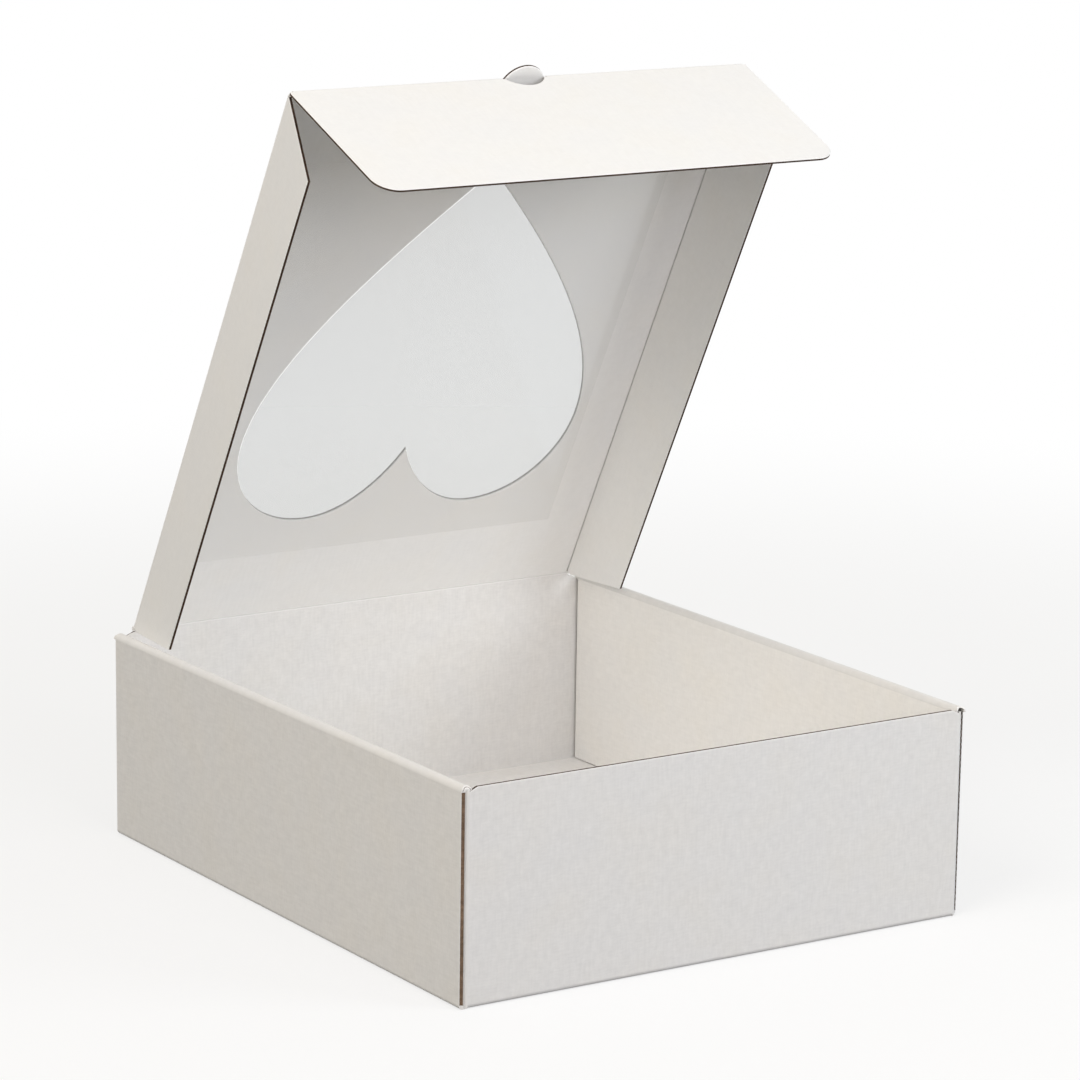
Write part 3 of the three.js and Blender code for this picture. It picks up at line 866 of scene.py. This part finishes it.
half_turn, quarter_turn = Matrix.Rotation(math.pi, 4, "Z"), Matrix.Rotation(math.pi / 2, 4, "Z")
hinge_angle = 90 - math.degrees(lid_slope)
hinge_place = lid_place @ half_turn
hinge_end = FOLD_LINE_REAR + board / 2
name, node, bodies = "hinge_fold", "lid_hinge_crease", ("lid", "tray")
crease(name, -hinge_end, hinge_end, HINGE_REACH, hinge_angle, GROOVE, hinge_place, node)
for side, start, end in (("left", -front_x, -THUMB_END), ("right", THUMB_END, front_x)):
    name, node, bodies = f"tuck_{side}_fold", f"tuck_crease_{side}", ("lid", "tuck_flap")
    crease(name, start, end, CREASE_REACH, 90 - TUCK_LEAN, GROOVE, lid_front, node)
left_fold = lid_place @ Matrix.Translation((-FOLD_LINE_REAR, 0, 0)) @ Matrix.Rotation(fold_turn, 4, "Z")
for side, place, start, end in (
    ("right", right_fold @ quarter_turn, flap_front, -SIDE_FLAP_START),
    ("left", left_fold @ quarter_turn.inverted(), SIDE_FLAP_START, -flap_front),
):
    name, node, bodies = f"{side}_flap_fold", f"{side}_flap_crease", ("lid", f"{side}_side_flap")
    crease(name, start, end, CREASE_REACH, 90 - SIDE_FLAP_SPLAY, SIDE_GROOVE, place, node)

# Window film: one thin clear sheet glued to the lid's inner face all round the heart. Where it is
# glued it nearly vanishes, and in the heart it is slightly hazy. It is not quite flat, so its gloss
# breaks up into soft lines.
FILM_THICKNESS = 0.00012
FILM_STEPS = 24
FILM_BUCKLE, BUCKLE_SIZE = 0.00022, 0.07
SMEAR_SIZE, SMEAR_DEPTH = 0.02, 0.00006
FILM_DROP = 0.00028
FILM_LEFT, FILM_RIGHT, FILM_REAR, FILM_FRONT = -0.119, 0.111, -0.043, -0.301


def film_paint(name, colour, haze, gloss):
    """Clear plastic. Each of the film's two faces holds back haze of the light."""
    paint = bpy.data.materials.new(name)
    paint.use_nodes = True
    nodes, links = paint.node_tree.nodes, paint.node_tree.links
    shader = nodes["Principled BSDF"]
    socket(shader, "Base Color", (*colour, 1))
    socket(shader, "Roughness", 0.12)
    socket(shader, "Alpha", haze)
    socket(shader, "Coat Weight", 1.0)
    socket(shader, "Coat Roughness", 0.06)
    socket(shader, "Coat IOR", gloss)
    socket(shader, "IOR", gloss)
    where = nodes.new("ShaderNodeTexCoord").outputs["Object"]
    smear, ripple = noise(nodes, links, where, SMEAR_SIZE, 2), nodes.new("ShaderNodeBump")
    socket(ripple, "Distance", SMEAR_DEPTH)
    socket(ripple, "Strength", 0.5)
    links.new(smear, ripple.inputs["Height"])
    links.new(ripple.outputs[0], shader.inputs["Normal"])
    return paint


def film_sheet():
    """The whole thin sheet, slightly buckled, with its middle at Z 0."""
    bpy.ops.object.select_all(action="DESELECT")
    middle = ((FILM_LEFT + FILM_RIGHT) / 2, (FILM_REAR + FILM_FRONT) / 2, 0)
    steps = {"x_subdivisions": FILM_STEPS, "y_subdivisions": FILM_STEPS}
    bpy.ops.mesh.primitive_grid_add(size=1, location=middle, **steps)
    sheet = bpy.context.object
    sheet.scale = (FILM_RIGHT - FILM_LEFT, FILM_REAR - FILM_FRONT, 1)
    bpy.ops.object.transform_apply()
    buckles = bpy.data.textures.new("buckles", "CLOUDS")
    buckles.noise_scale, buckles.noise_depth = BUCKLE_SIZE, 0
    applied(sheet, "buckled", "DISPLACE", texture=buckles, texture_coords="LOCAL", strength=FILM_BUCKLE)
    return applied(sheet, "film", "SOLIDIFY", thickness=FILM_THICKNESS, offset=0)


glued = cut(film_sheet(), heart_die(), "DIFFERENCE")
glued.data.materials.append(film_paint("glued film", (0.9, 0.9, 0.88), 0.1, 3.5))
window = cut(film_sheet(), heart_die(), "INTERSECT")
window.data.materials.append(film_paint("clear film", (0.66, 0.69, 0.69), 0.29, 1.5))
film = joined("clear_window_film", glued, window)
placed(film, lid_place @ Matrix.Translation((0, 0, -board / 2 - FILM_DROP)))
fixed(film, "lid", "clear_film", "window_film")
